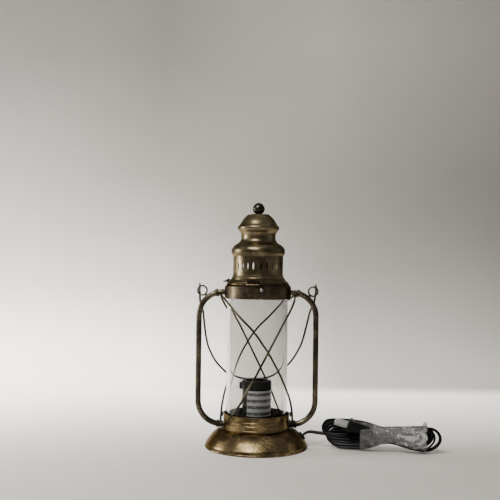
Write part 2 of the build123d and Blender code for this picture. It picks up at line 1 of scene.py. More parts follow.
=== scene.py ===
"""Looks of the ship lantern: materials, cord hank, plug, film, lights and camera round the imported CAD."""

import json
import math
import random

import bmesh
import bpy
from mathutils import Matrix, Vector, noise


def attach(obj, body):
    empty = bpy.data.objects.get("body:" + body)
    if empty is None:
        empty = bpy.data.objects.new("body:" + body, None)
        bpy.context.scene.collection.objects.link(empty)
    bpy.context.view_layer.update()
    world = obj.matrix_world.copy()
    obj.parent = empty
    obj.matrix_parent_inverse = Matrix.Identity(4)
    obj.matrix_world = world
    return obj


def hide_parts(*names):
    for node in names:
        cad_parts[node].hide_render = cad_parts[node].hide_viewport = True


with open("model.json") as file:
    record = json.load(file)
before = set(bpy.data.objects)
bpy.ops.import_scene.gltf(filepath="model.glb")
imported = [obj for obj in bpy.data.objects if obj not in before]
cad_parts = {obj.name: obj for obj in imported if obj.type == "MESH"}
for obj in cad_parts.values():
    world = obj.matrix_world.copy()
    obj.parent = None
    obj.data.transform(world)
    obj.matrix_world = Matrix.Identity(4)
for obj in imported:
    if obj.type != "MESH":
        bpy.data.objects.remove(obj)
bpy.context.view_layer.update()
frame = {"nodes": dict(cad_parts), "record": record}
nodes = frame["nodes"]
MM = 0.001

# ---- cord facts, in millimetres ---------------------------------------------------------------------
CORD_W = 5.4
CORD_T = 2.7
HANK_FROM = Vector((93.0, -5.0, 0.0))
HANK_YAW = math.radians(-11.7)
ALONG = Vector((math.cos(HANK_YAW), math.sin(HANK_YAW), 0.0))
OUTWARD = Vector((math.sin(HANK_YAW), -math.cos(HANK_YAW), 0.0))
UP = Vector((0.0, 0.0, 1.0))
# Route of the lead, from the base's grommet to the near end of the hank.
LEAD = [
    (66.4, 0.0, 17.1), (69.7, 0.0, 19.7), (74.6, -0.7, 21.9), (80.8, -2.0, 21.7),
    (87.4, -3.4, 21.0), (94.6, -5.4, 20.9),
]
# The turns of the hank. Each has its low run at the near end, the tied waist and the far end, as
# (row, depth), how far its far loop reaches, its high run at the far end, the waist and the near end,
# and how far its near loop reaches. Rows are counted from the floor in low runs and at the waist, and
# from the top in high runs.
TURNS = [
    ((4.0, 4.0), (2, -0.5), (1.0, 0.0), 150.0, (1.0, -5.5), (3, -6.0), (3.0, -7.2), 9.5),
    ((0.0, 4.2), (0, 5.0), (0.0, 5.5), 155.5, (0.0, -5.5), (4, -6.0), (2.0, -7.0), 6.0),
    ((1.0, 4.4), (1, 5.0), (1.0, 5.5), 147.5, (1.0, 0.0), (3, -0.5), (1.0, -7.2), 3.4),
    ((2.0, 3.8), (0, -0.5), (0.0, 0.0), 163.0, (0.0, 0.0), (4, -0.5), (0.0, -7.0), 0.8),
    ((3.0, 4.2), (1, -0.5), (1.0, -5.5), 152.5, (0.0, 5.5), (2, -6.0), (4.0, -2.0), 8.0),
    ((0.0, -4.8), (0, -6.0), (3.4, 2.0), 136.5, (2.0, 5.2), (2, 9.0), (4.0, 9.0), 0.0),
]
# Rows: their spacing, the lowest and the highest one, and where along the hank these change.
ROW_FAR = 2.85
ROW_NEAR = 3.85
ROW_CHANGE = (66.0, 110.0)
FLOOR_ROW = 4.2
TOP_ROW_NEAR = 39.2
TOP_ROW_FAR = 35.2
TOP_CHANGE = (44.0, 84.0)
# The tied waist: its place, how far it spreads to the near and the far side, and its own rows.
WAIST_AT = 91.0
WAIST_LENGTHS = (20.7, 30.7)
WAIST_FLOOR_ROW = 14.6
WAIST_ROW = 4.35
WAIST_TOP_ROW = 4
# Runs: where their route points lie, how far these wander, and the points before the first run.
RUN_STOPS = (32.0, 46.0, 59.0, 70.0, 79.0, 87.0, 95.0, 105.0, 117.0, 128.0, 139.0)
HEIGHT_WANDER = 0.25
DEPTH_WANDER = 0.5
HANK_START = [(5.5, 20.6, 0.6), (13.0, 20.2, 2.2), (22.0, 19.6, 3.6)]
# End loops: how far their low side stops short, how far from the reach they start, and their shape.
FAR_SLANT = 5.0
NEAR_SLANT = 6.0
FAR_TURN = 13.0
NEAR_TURN = 12.0
TURN_GAP = 3.0
LOOP_GROWTH = 1.05
END_ANGLES = (-74, -37, 0, 37, 74)
# The last run stops here, and goes on to the plug by these points of the plug's frame.
TAIL_STOP = 110.0
TAIL = [(68.0, 6.0, -3.4), (57.0, 2.6, -2.2), (45.0, 0.4, -0.4), (33.0, 0.0, 0.0)]
# The cord stands on edge from the first span to the second, and rolls slowly elsewhere.
EDGE_FROM = (-4.0, 5.0)
EDGE_TO = (66.0, 96.0)
EDGE_ROLL = 1.05
LOOSE_SHARE_ON_EDGE = 0.3

# ---- plug, pin cap, strain relief, film, in millimetres ---------------------------------------------
# Where the plug's pin face sits, as (along, height, outward) on the hank, and the plug's tilt.
PLUG_AT = (37.5, 36.0, 9.0)
PLUG_TILT = math.radians(-12.5)
# Sections of the plug and its cap: place along the plug, half height and half depth.
PLUG_SECTIONS = [
    (0.0, 8.2, 12.6), (0.7, 9.3, 13.4), (3.8, 9.4, 13.5), (4.8, 7.4, 13.0), (12.0, 7.1, 10.2),
    (17.0, 6.9, 8.9), (24.0, 6.2, 7.6), (31.0, 5.2, 6.6), (33.0, 4.8, 6.2), (34.0, 3.8, 5.2),
]
PLUG_CORNER = 4.0
CAP_SECTIONS = [
    (-19.1, 2.4, 10.8), (-18.5, 3.2, 11.5), (-17.4, 3.6, 11.8), (-9.0, 3.8, 12.0), (-1.2, 3.9, 12.0),
    (-0.3, 3.4, 11.6),
]
# The ribbed strain relief: where it starts, its half height and half depth there, its taper and ribs.
RELIEF_FROM = 33.0
RELIEF_LENGTH = 15.0
RELIEF_HALVES = (3.2, 4.6)
RELIEF_TAPER = 1.2
RELIEF_CORNER = 2.4
RELIEF_STEPS = 30
RIDGE_HEIGHT = 0.35
RIDGE_STEPS = 3

# The film: its span, its mesh, how far it clears the rows, its depths, and where it is taut over the plug.
WRAP_SPAN = (54.5, 144.5)
WRAP_COLUMNS = 150
WRAP_COUNT = 84
WRAP_CORNER = 0.72
WRAP_LOWEST = 0.6
FILM_UNDER = 2.4
FILM_OVER = 1.6
FILM_WAIST_GAP = 0.6
FILM_FRONT = 10.0
FILM_OVER_PLUG = 8.6
FILM_BACK = -10.2
OVER_PLUG_TO = (66.0, 104.0)
TAUT_TO = (68.0, 80.0)
TAUT_SLACK = 0.25
FOLD_GROWTH = 0.13
FOLD_MIDDLE = 0.42
FOLD_SHIFT = 1.6
# The film's free tab, which stands on the hank.
TAB_FROM = 138.5
TAB_LENGTH = 6.5
TAB_HEIGHT = 35.6
TAB_DEPTH = 2.0
TAB_PEAK = 8.6
TAB_LEAN = 1.5
TAB_HALF_FOOT = 0.8
TAB_STEPS = 10

# ---- camera, stage, lights, in metres ---------------------------------------------------------------
CAMERA_LENS = 61.2
CAMERA_AT = (-0.0118, -1.207, 0.261)
CAMERA_PITCH = math.radians(90.8)
CAMERA_ROLL = math.radians(0.7)
STAGE_FRONT = -2.6
STAGE_HALF_WIDTH = 3.0
STAGE_TOP = 3.2
SWEEP_FROM = 0.55
SWEEP_RADIUS = 0.5
SOFT_WHITE = (1.0, 0.98, 0.94)
# Name, place, what it points at, size, power in watts, colour and spread in degrees.
LIGHTS = [
    ("key", (-0.55, -1.0, 1.45), (0, 0, 0.15), (0.7, 0.5), 28.0, (1.0, 0.97, 0.92), 180.0),
    ("left", (-1.7, -0.5, 0.9), (0, 0, 0.2), (0.5, 1.2), 1.0, (1.0, 0.98, 0.95), 180.0),
    ("wash", (-0.95, 0.12, 0.34), (-0.55, 0.72, 0.0), (0.3, 0.3), 15.0, SOFT_WHITE, 180.0),
    ("floor", (-0.1, 0.62, 1.5), (-0.1, 0.62, 0.0), (1.8, 0.3), 14.0, SOFT_WHITE, 50.0),
]
# Brightness of the surround, from in front of the lantern to behind it.
WORLD_RAMP = {"From Min": -0.9, "From Max": 0.3, "To Min": 0.10, "To Max": 0.46}
WORLD_COLOUR = (1.0, 0.985, 0.96, 1)


# ---- small helpers ----------------------------------------------------------------------------------
def on_hank(along, height, outward):
    """Point of the hank's own frame, in metres."""
    return (HANK_FROM + ALONG * along + OUTWARD * outward + UP * height) * MM


def plug_place():
    """Matrix of the plug's frame: X to its cord, Y across it, Z to the front."""
    rotation = Matrix((ALONG, UP, OUTWARD)).transposed().to_4x4()
    return Matrix.Translation(on_hank(*PLUG_AT)) @ rotation @ Matrix.Rotation(PLUG_TILT, 4, "Z")


def new_object(name, data):
    """Object for the data, linked into the scene."""
    made = bpy.data.objects.new(name, data)
    bpy.context.scene.collection.objects.link(made)
    return made


def add_piece(name, mesh, material, body="lantern"):
    """Object for the mesh, smooth shaded, that rides on the body."""
    piece = new_object(name, mesh)
    mesh.materials.append(material)
    mesh.shade_smooth()
    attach(piece, body)
    return piece


def loft(name, rings, closed_ends=True):
    """Mesh through rings of points, each ring with the same number of them."""
    shape = bmesh.new()
    rows = [[shape.verts.new(point) for point in ring] for ring in rings]
    count = len(rows[0])
    for row, after in zip(rows, rows[1:]):
        for i in range(count):
            j = (i + 1) % count
            shape.faces.new((row[i], row[j], after[j], after[i]))
    if closed_ends:
        shape.faces.new(rows[0][::-1])
        shape.faces.new(rows[-1])
    bmesh.ops.recalc_face_normals(shape, faces=shape.faces)
    mesh = bpy.data.meshes.new(name)
    shape.to_mesh(mesh)
    shape.free()
    return mesh


def spline_line(points):
    """Points along the smooth NURBS line whose control points are the route's points."""
    data = bpy.data.curves.new("route", "CURVE")
    data.dimensions = "3D"
    data.resolution_u = 8
    spline = data.splines.new("NURBS")
    spline.points.add(len(points) - 1)
    for control, point in zip(spline.points, points):
        control.co = (*point, 1.0)
    spline.order_u = 3
    spline.use_endpoint_u = True
    holder = bpy.data.objects.new("route", data)
    mesh = bpy.data.meshes.new_from_object(holder)
    line = [vertex.co.copy() for vertex in mesh.vertices]
    bpy.data.objects.remove(holder)
    bpy.data.meshes.remove(mesh)
    bpy.data.curves.remove(data)
    return line


# ---- materials --------------------------------------------------------------------------------------
class Shader:
    """One material's node tree, with short calls for the nodes that it needs."""

    def __init__(self, name, **sockets):
        self.material = bpy.data.materials.new(name)
        self.material.use_nodes = True
        self.tree = self.material.node_tree
        self.bsdf = self.tree.nodes["Principled BSDF"]
        for socket, value in sockets.items():
            self.bsdf.inputs[socket.replace("_", " ").title().replace("Ior", "IOR")].default_value = value
        self.coords = self.node("ShaderNodeTexCoord").outputs["Object"]

    def node(self, kind, **settings):
        node = self.tree.nodes.new(kind)
        for key, value in settings.items():
            setattr(node, key, value)
        return node

    def link(self, source, target):
        self.tree.links.new(source, target)

    def math(self, operation, a, b=0.5):
        node = self.node("ShaderNodeMath", operation=operation)
        for socket, value in zip(node.inputs, (a, b)):
            if isinstance(value, (int, float)):
                socket.default_value = value
            else:
                self.link(value, socket)
        return node.outputs[0]

    def noise(self, scale, detail=3.0, roughness=0.55, vector=None):
        node = self.node("ShaderNodeTexNoise")
        node.inputs["Scale"].default_value = scale
        node.inputs["Detail"].default_value = detail
        node.inputs["Roughness"].default_value = roughness
        self.link(vector or self.coords, node.inputs["Vector"])
        return node.outputs["Fac"]

    def ramp(self, source, *stops):
        """Colour ramp with (position, value or colour) stops."""
        node = self.node("ShaderNodeValToRGB")
        elements = node.color_ramp.elements
        while len(elements) < len(stops):
            elements.new(0.5)
        for element, (position, value) in zip(elements, stops):
            element.position = position
            element.color = (*value, 1) if isinstance(value, tuple) else (value, value, value, 1)
        self.link(source, node.inputs["Fac"])
        return node.outputs["Color"]

    def mix(self, factor, a, b):
        node = self.node("ShaderNodeMix", data_type="RGBA")
        for index, value in ((0, factor), (6, a), (7, b)):
            if isinstance(value, tuple):
                node.inputs[index].default_value = (*value, 1)
            elif isinstance(value, (int, float)):
                node.inputs[index].default_value = value
            else:
                self.link(value, node.inputs[index])
        return node.outputs[2]

    def axes(self):
        """X, Y and Z of the object's own coordinates."""
        split = self.node("ShaderNodeSeparateXYZ")
        self.link(self.coords, split.inputs[0])
        return split.outputs

    def multiply(self, a, b):
        node = self.node("ShaderNodeMix", data_type="RGBA", blend_type="MULTIPLY")
        node.inputs[0].default_value = 1.0
        self.link(a, node.inputs[6])
        self.link(b, node.inputs[7])
        return node.outputs[2]

    def lathe_coords(self, radius_scale, height_scale):
        """Vector that changes with radius and height only, as the marks of a spinning tool do."""
        axes = self.axes()
        squares = [self.math("POWER", axes[axis], 2.0) for axis in "XY"]
        radius = self.math("SQRT", self.math("ADD", *squares))
        join = self.node("ShaderNodeCombineXYZ")
        self.link(self.math("MULTIPLY", radius, radius_scale), join.inputs["X"])
        self.link(self.math("MULTIPLY", axes["Z"], height_scale), join.inputs["Z"])
        return join.outputs[0]

    def bump(self, height, strength, distance):
        node = self.node("ShaderNodeBump")
        node.inputs["Strength"].default_value = strength
        node.inputs["Distance"].default_value = distance
        self.link(height, node.inputs["Height"])
        return node.outputs["Normal"]

    def set(self, **links):
        """Links the sources to the shader's sockets and gives back the material."""
        for socket, source in links.items():
            self.link(source, self.bsdf.inputs[socket.replace("_", " ").title()])
        return self.material


def antique_metal(name, deep, warm, bright, rough, spun=True):
    """Lacquered antique brass: dark in patches, with a brighter tone where handling has rubbed it."""
    edge_tint = tuple(0.35 + 0.4 * c for c in warm)
    shader = Shader(name, metallic=1.0, specular_tint=(*edge_tint, 1))
    patches = shader.noise(46.0, 5.0, 0.6)
    clouds = shader.noise(11.0, 2.0, 0.5)
    specks = shader.noise(520.0, 3.0, 0.6)
    tone = shader.math("ADD", shader.math("MULTIPLY", patches, 0.6), shader.math("MULTIPLY", clouds, 0.4))
    base = shader.ramp(tone, (0.38, deep), (0.62, warm))
    rubbed = shader.math("MULTIPLY", shader.ramp(patches, (0.50, 0.0), (0.68, 1.0)),
                         shader.ramp(specks, (0.42, 0.0), (0.62, 0.85)))
    colour = shader.mix(rubbed, base, bright)
    roughness = shader.math("ADD", shader.math("MULTIPLY", specks, 0.22), rough - 0.11)
    if spun:
        marks = shader.noise(1.0, 3.0, 0.6, shader.lathe_coords(800.0, 800.0))
        broad = shader.noise(1.0, 1.0, 0.5, shader.lathe_coords(140.0, 140.0))
        turned = shader.math("ADD", shader.math("MULTIPLY", marks, 0.3), broad)
        height = shader.math("ADD", turned, shader.math("MULTIPLY", specks, 0.35))
    else:
        height = shader.math("ADD", shader.math("MULTIPLY", specks, 0.5), patches)
    normal = shader.bump(height, 0.25, 0.0006)
    return shader.set(base_color=colour, roughness=roughness, normal=normal)


def moulded(name, colour, rough, grain=900.0, depth=0.15, shine=0.5):
    """Moulded plastic or rubber with fine grain and slight unevenness."""
    shader = Shader(name, specular_ior_level=shine)
    fine = shader.noise(grain, 2.0)
    broad = shader.noise(60.0, 3.0)
    light = tuple(min(1.0, c * 1.5 + 0.002) for c in colour)
    shade = shader.ramp(broad, (0.3, colour), (0.75, light))
    roughness = shader.math("ADD", shader.math("MULTIPLY", broad, 0.2), rough - 0.1)
    return shader.set(base_color=shade, roughness=roughness, normal=shader.bump(fine, depth, 0.0002))


def clear_glass():
    """Chimney glass whose grey base colour is painted shade that darkens all seen through it, with a weak
    reflection, slightly hazy in patches.
    """
    # Painted shade: the grey base colour darkens the lamp holder and everything else seen through the glass.
    shader = Shader("clear_glass", transmission_weight=1.0, ior=1.47, specular_tint=(0.2, 0.2, 0.2, 1),
                    base_color=(0.70, 0.70, 0.685, 1))
    haze = shader.noise(22.0, 4.0)
    roughness = shader.ramp(haze, (0.45, 0.0), (0.9, 0.05))
    return shader.set(roughness=roughness)


def clear_film():
    """Crinkled clear film: hazy, with painted glints that whiten its crinkled part in patches, and clearer
    where it is pulled taut.
    """
    shader = Shader("clear_film", ior=1.5, specular_ior_level=0.8)
    mottle = shader.noise(120.0, 4.0, 0.6)
    facets = shader.node("ShaderNodeTexVoronoi", feature="F1")
    facets.inputs["Scale"].default_value = 210.0
    shader.link(shader.coords, facets.inputs["Vector"])
    loose = shader.ramp(shader.axes()["X"], (0.158, 0.0), (0.168, 1.0))
    # Painted highlights: white glints in the colour of the crinkled part of the film, where the mottle is
    # high.
    painted_glints = shader.ramp(mottle, (0.57, 0.0), (0.66, 1.0))
    shade = shader.mix(shader.math("MULTIPLY", painted_glints, loose), (0.30, 0.30, 0.30), (0.90, 0.90, 0.90))
    cloudy = shader.ramp(mottle, (0.35, 0.0), (0.65, 1.0))
    haze = shader.math("ADD", shader.math("MULTIPLY", cloudy, 0.26), 0.14)
    alpha = shader.math("ADD", haze, shader.math("MULTIPLY", loose, 0.27))
    roughness = shader.ramp(mottle, (0.3, 0.14), (0.7, 0.34))
    relief = shader.math("ADD", facets.outputs["Distance"], mottle)
    crumple = shader.math("ADD", shader.math("MULTIPLY", loose, 0.85), 0.15)
    normal = shader.bump(shader.math("MULTIPLY", relief, crumple), 0.8, 0.0010)
    return shader.set(base_color=shade, alpha=alpha, roughness=roughness, normal=normal)


def blank_label():
    """Pale label with plain smudged bars that stand for its print."""
    shader = Shader("blank_label", roughness=0.45)
    row = shader.math("FRACT", shader.math("MULTIPLY", shader.axes()["Z"], 112.0))
    off_middle = shader.math("ABSOLUTE", shader.math("SUBTRACT", row, 0.5))
    bar = shader.ramp(off_middle, (0.20, 1.0), (0.28, 0.0))
    blots = shader.ramp(shader.noise(330.0, 2.0), (0.36, 0.62), (0.52, 1.0))
    ink = shader.math("MULTIPLY", shader.math("MULTIPLY", bar, blots), 0.9)
    return shader.set(base_color=shader.mix(ink, (0.80, 0.815, 0.82), (0.05, 0.05, 0.055)))


def felt():
    """Dark green felt with fine fibres."""
    shader = Shader("felt", roughness=0.95, sheen_weight=0.4)
    fibres = shader.noise(1600.0, 4.0, 0.7)
    shade = shader.ramp(fibres, (0.3, (0.012, 0.022, 0.015)), (0.7, (0.03, 0.05, 0.035)))
    return shader.set(base_color=shade, normal=shader.bump(fibres, 0.6, 0.0006))


def cord_sheath():
    """Flexible black sheath with a soft shine and faint ripples from the extruder."""
    shader = Shader("cord_sheath", specular_ior_level=0.16)
    ripple = shader.noise(700.0, 2.0)
    dust = shader.noise(90.0, 4.0)
    shade = shader.ramp(dust, (0.35, (0.003, 0.003, 0.004)), (0.8, (0.008, 0.008, 0.009)))
    roughness = shader.ramp(dust, (0.3, 0.30), (0.8, 0.48))
    return shader.set(base_color=shade, roughness=roughness, normal=shader.bump(ripple, 0.12, 0.0002))


def translucent_cap():
    """Cloudy pale plastic that lets a little light in."""
    shader = Shader("pale_cap", subsurface_weight=0.35, roughness=0.35)
    shader.bsdf.inputs["Subsurface Radius"].default_value = (0.004, 0.004, 0.004)
    cloud = shader.noise(140.0, 3.0)
    shade = shader.ramp(cloud, (0.3, (0.24, 0.245, 0.24)), (0.8, (0.36, 0.365, 0.355)))
    return shader.set(base_color=shade, normal=shader.bump(cloud, 0.2, 0.0004))


MATERIALS = {
    "dark_bronze": antique_metal(
        "dark_bronze", (0.040, 0.032, 0.022), (0.105, 0.084, 0.056), (0.25, 0.195, 0.125), 0.34),
    "hood_bronze": antique_metal(
        "hood_bronze", (0.072, 0.057, 0.032), (0.205, 0.165, 0.100), (0.38, 0.31, 0.19), 0.33),
    "ball_bronze": antique_metal(
        "ball_bronze", (0.016, 0.014, 0.010), (0.050, 0.044, 0.033), (0.12, 0.105, 0.08), 0.30),
    "aged_brass": antique_metal(
        "aged_brass", (0.060, 0.042, 0.021), (0.165, 0.120, 0.064), (0.62, 0.46, 0.21), 0.31),
    "wire_bronze": antique_metal(
        "wire_bronze", (0.034, 0.028, 0.020), (0.125, 0.104, 0.074), (0.28, 0.235, 0.160), 0.29, False),
    "dark_wire": antique_metal(
        "dark_wire", (0.020, 0.017, 0.012), (0.075, 0.062, 0.044), (0.20, 0.165, 0.115), 0.30, False),
    "bare_brass": antique_metal(
        "bare_brass", (0.45, 0.31, 0.12), (0.70, 0.52, 0.24), (0.85, 0.68, 0.38), 0.28),
    "steel": antique_metal(
        "steel", (0.30, 0.30, 0.29), (0.48, 0.48, 0.47), (0.66, 0.66, 0.65), 0.32, False),
    "clear_glass": clear_glass(),
    "black_phenolic": moulded("black_phenolic", (0.0025, 0.0025, 0.003), 0.42, shine=0.16),
    "black_rubber": moulded("black_rubber", (0.005, 0.005, 0.005), 0.60, 600.0, 0.25, 0.2),
    "cord_black": cord_sheath(),
    "pale_cap": translucent_cap(),
    "clear_film": clear_film(),
    "label_paper": blank_label(),
    "green_felt": felt(),
    "cover_board": moulded("cover_paint", (0.025, 0.025, 0.025), 0.5),
    "ceramic": moulded("ceramic", (0.66, 0.64, 0.58), 0.25, 500.0, 0.08),
}
# Nodes whose name starts so take this look in place of the one of their slot.
LOOKS = [
    # Painted light: the collar's hinge leaf takes the lighter hood_bronze, a lit tone for its tilted shield
    # on the darker collar.
    (("hood_drum", "hood_shoulder", "hood_top", "hood_flange", "hinge_leaf_collar"), "hood_bronze"),
    (("finial_ball", "hinge_pin", "hinge_rivets"), "ball_bronze"),
    (("guard", "bail", "eye_ring", "lift"), "dark_wire"),
    (("hinge_leaf_hood", "catch", "side_tube", "gallery_clips"), "wire_bronze"),
    (("collar_screw",), "steel"),
]


def dress_cad_nodes():
    """Gives every CAD node the material of its slot, or the look that stands for that slot on the node."""
    slots = {part["node"]: part["material_slot"] for part in frame["record"]["subparts"]}
    for name, piece in nodes.items():
        look = next((look for starts, look in LOOKS if name.startswith(starts)), slots[name])
        piece.data.materials.clear()
        piece.data.materials.append(MATERIALS[look])


# ---- camera -----------------------------------------------------------------------------------------
def make_camera():
    """Camera that matches the view of the lantern from the front."""
    data = bpy.data.cameras.new("camera")
    data.lens = CAMERA_LENS
    data.sensor_width = 36.0
    data.clip_start = 0.05
    camera = new_object("camera", data)
    turned = Matrix.Rotation(CAMERA_PITCH, 4, "X") @ Matrix.Rotation(CAMERA_ROLL, 4, "Z")
    camera.matrix_world = Matrix.Translation(CAMERA_AT) @ turned
    bpy.context.scene.camera = camera


# ---- cord -------------------------------------------------------------------------------------------
def smooth_step(value, start, end):
    """Share from 0 at the start to 1 at the end, with no kink at either."""
    t = min(1.0, max(0.0, (value - start) / (end - start)))
    return t * t * (3.0 - 2.0 * t)


def waist_share(along):
    """How far the tie has drawn the hank in here: 1 at the waist, towards 0 at the ends."""
    near_length, far_length = WAIST_LENGTHS
    length = far_length if along > WAIST_AT else near_length
    return math.exp(-((along - WAIST_AT) / length) ** 2)


def top_row(along):
    """Height of the hank's highest row before the tie draws it down."""
    return TOP_ROW_NEAR + (TOP_ROW_FAR - TOP_ROW_NEAR) * smooth_step(along, *TOP_CHANGE)


def run_place(along, near, waist, far, high):
    """Height and depth of a run: the near or far end's place, drawn in towards the tied waist."""
    share = waist_share(along)
    to_far = smooth_step(along, *ROW_CHANGE)
    row = near[0] + (far[0] - near[0]) * to_far
    depth = near[1] + (far[1] - near[1]) * to_far
    pitch = ROW_NEAR + (ROW_FAR - ROW_NEAR) * to_far
    height = top_row(along) - pitch * row if high else FLOOR_ROW + pitch * row
    tied = WAIST_FLOOR_ROW + WAIST_ROW * waist[0]
    return height + (tied - height) * share, depth + (waist[1] - depth) * share


def end_loop(reach, start, end, side, slant):
    """Half turn from one (height, depth) to another. Its lower part stops short by the slant."""
    radius = abs(end[0] - start[0]) / 2
    middle = (start[0] + end[0]) / 2
    centre = reach - side * radius
    direction = 1 if end[0] > start[0] else -1
    points = []
    for number, angle in enumerate(END_ANGLES):
        turn = math.radians(angle)
        depth = start[1] + (end[1] - start[1]) * (number + 0.5) / len(END_ANGLES)
        rise = direction * radius * LOOP_GROWTH * math.sin(turn)
        short = slant * max(0.0, -rise / radius)
        out = radius * LOOP_GROWTH * math.cos(turn) - short
        points.append((centre + side * out, middle + rise, depth))
    return points


def wandered(rng, along, place):
    """Route point near the (height, depth) place, as loosely as a cord is laid by hand."""
    height = place[0] + rng.uniform(-HEIGHT_WANDER, HEIGHT_WANDER)
    depth = place[1] + rng.uniform(-DEPTH_WANDER, DEPTH_WANDER)
    return along, height, depth


def hank_route():
    """Turns of the hank in its own frame: low run, far loop, high run, near loop."""
    rng = random.Random(11)
    route = list(HANK_START)
    for number, turn in enumerate(TURNS):
        low_near, low_waist, low_far, far_reach, high_far, high_waist, high_near, near_reach = turn
        last = number == len(TURNS) - 1

        def low_at(along):
            return run_place(along, low_near, low_waist, low_far, False)

        def high_at(along):
            return run_place(along, high_near, high_waist, high_far, True)

        far_turn = far_reach - FAR_TURN
        stops = [along for along in RUN_STOPS if along < far_turn - TURN_GAP]
        for along in stops:
            route.append(wandered(rng, along, low_at(along)))
        route += end_loop(far_reach, low_at(far_turn), high_at(far_turn), 1, FAR_SLANT)
        for along in stops[::-1]:
            if not (last and along < TAIL_STOP):
                route.append(wandered(rng, along, high_at(along)))
        if not last:
            after = TURNS[number + 1]
            near_turn = near_reach + NEAR_TURN
            low_end = run_place(near_turn, after[0], after[1], after[2], False)
            route += end_loop(near_reach, high_at(near_turn), low_end, -1, NEAR_SLANT)
    return route


def flat_twin_profile():
    """Outline of the flat twin cord: two round cores side by side."""
    lobe = CORD_T / 2
    offset = CORD_W / 2 - lobe
    points = []
    for side in (1, -1):
        for step in range(-3, 4):
            angle = math.radians(step * 40) + (0 if side > 0 else math.pi)
            points.append((side * offset + lobe * math.cos(angle), lobe * math.sin(angle)))
    return points


def cord_mesh(name, line):
    """Flat twin cord along the line. It rolls slowly, and stands on edge where the runs lie side by side."""
    profile = flat_twin_profile()
    rings = []
    last = len(line) - 1
    for i, point in enumerate(line):
        tangent = (line[min(i + 1, last)] - line[max(i - 1, 0)]).normalized()
        side = (OUTWARD - tangent * OUTWARD.dot(tangent)).normalized()
        rise = tangent.cross(side)
        along = (point / MM - HANK_FROM).dot(ALONG)
        on_edge = smooth_step(along, *EDGE_FROM) * (1.0 - smooth_step(along, *EDGE_TO))
        loose = 0.55 * math.sin(i * 0.021 + 0.6) + 0.25 * math.sin(i * 0.057)
        roll = EDGE_ROLL * on_edge + loose * (1.0 - (1.0 - LOOSE_SHARE_ON_EDGE) * on_edge)
        across = side * math.cos(roll) + rise * math.sin(roll)
        over = rise * math.cos(roll) - side * math.sin(roll)
        rings.append([point + (across * x + over * y) * MM for x, y in profile])
    return loft(name, rings)


def make_cord():
    """Lays the cord from the base through the hank to the plug."""
    place = plug_place()
    tail = [place @ (Vector(point) * MM) for point in TAIL]
    route = [Vector(point) * MM for point in LEAD]
    route += [on_hank(*point) for point in hank_route()]
    route += tail
    line = spline_line(route)
    cord = add_piece("flat_twin_cord", cord_mesh("flat_twin_cord", line), MATERIALS["cord_black"])
    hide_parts("cord_lead", "cord_hank")


# ---- plug, relief, wrap -----------------------------------------------------------------------------
def rounded_ring(half_y, half_z, x, power, count=40):
    """Superellipse ring across the X axis, in millimetres."""
    ring = []
    for i in range(count):
        angle = 2 * math.pi * i / count
        c, s = math.cos(angle), math.sin(angle)
        y = half_y * math.copysign(abs(c) ** (2 / power), c)
        z = half_z * math.copysign(abs(s) ** (2 / power), s)
        ring.append(Vector((x, y, z)))
    return ring


def box_loft(name, place, sections):
    """Rounded box shape through (x, half height, half depth) sections in the plug's frame."""
    rings = []
    for x, half_y, half_z in sections:
        rings.append([place @ (p * MM) for p in rounded_ring(half_y, half_z, x, PLUG_CORNER)])
    return loft(name, rings)


def make_plug():
    """Plug, pin cap and ribbed strain relief, with the CAD's pins: the pieces that belong to the cord."""
    place = plug_place()
    plug = add_piece("plug_shell", box_loft("plug_shell", place, PLUG_SECTIONS), MATERIALS["black_phenolic"])
    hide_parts("plug_body")
    cap = add_piece("pin_cap", box_loft("pin_cap", place, CAP_SECTIONS), MATERIALS["pale_cap"])
    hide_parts("pin_cover")
    rings = []
    for i in range(RELIEF_STEPS + 1):
        t = i / RELIEF_STEPS
        ridge = RIDGE_HEIGHT if (i // RIDGE_STEPS) % 2 == 0 else 0.0
        half_y, half_z = [half - RELIEF_TAPER * t + ridge for half in RELIEF_HALVES]
        ring = rounded_ring(half_y, half_z, RELIEF_FROM + RELIEF_LENGTH * t, RELIEF_CORNER)
        rings.append([place @ (p * MM) for p in ring])
    relief = add_piece("plug_strain_relief", loft("plug_strain_relief", rings), MATERIALS["black_rubber"])
    return [plug, cap, relief, nodes["plug_pins"]]


def film_section(along):
    """Lowest and highest point of the film and its front and back, at a place along the hank."""
    share = waist_share(along)
    low = FLOOR_ROW - FILM_UNDER + share * (WAIST_FLOOR_ROW - FLOOR_ROW + FILM_WAIST_GAP)
    top = top_row(along)
    high = top + FILM_OVER + share * (WAIST_FLOOR_ROW + WAIST_TOP_ROW * WAIST_ROW - top)
    over_plug = 1.0 - smooth_step(along, *OVER_PLUG_TO)
    return low, high, FILM_FRONT + FILM_OVER_PLUG * over_plug, FILM_BACK


def fold_height(place):
    """Relief of the film at a place: creases of two sizes and a fine ripple."""
    coarse, middling, fine = (noise.noise(place * scale) for scale in (1.3, 3.1, 7.0))
    return abs(coarse) + 0.7 * abs(middling) + 0.4 * fine


def make_tab():
    """Free end of the film, a thin pointed ridge that stands up from the hank."""
    rows = []
    for i in range(TAB_STEPS + 1):
        t = i / TAB_STEPS
        foot = on_hank(TAB_FROM + TAB_LENGTH * t, TAB_HEIGHT, TAB_DEPTH)
        peak = TAB_PEAK * math.sin(math.pi * (0.12 + 0.78 * t)) ** 0.6
        lean = TAB_LEAN * math.sin(6.0 * t)
        edge = foot + (UP * peak + OUTWARD * lean) * MM
        half_foot = OUTWARD * TAB_HALF_FOOT * MM
        rows.append([foot - half_foot, edge, foot + half_foot])
    tab = add_piece("film_tab", loft("film_tab", rows), MATERIALS["clear_film"])
    return tab


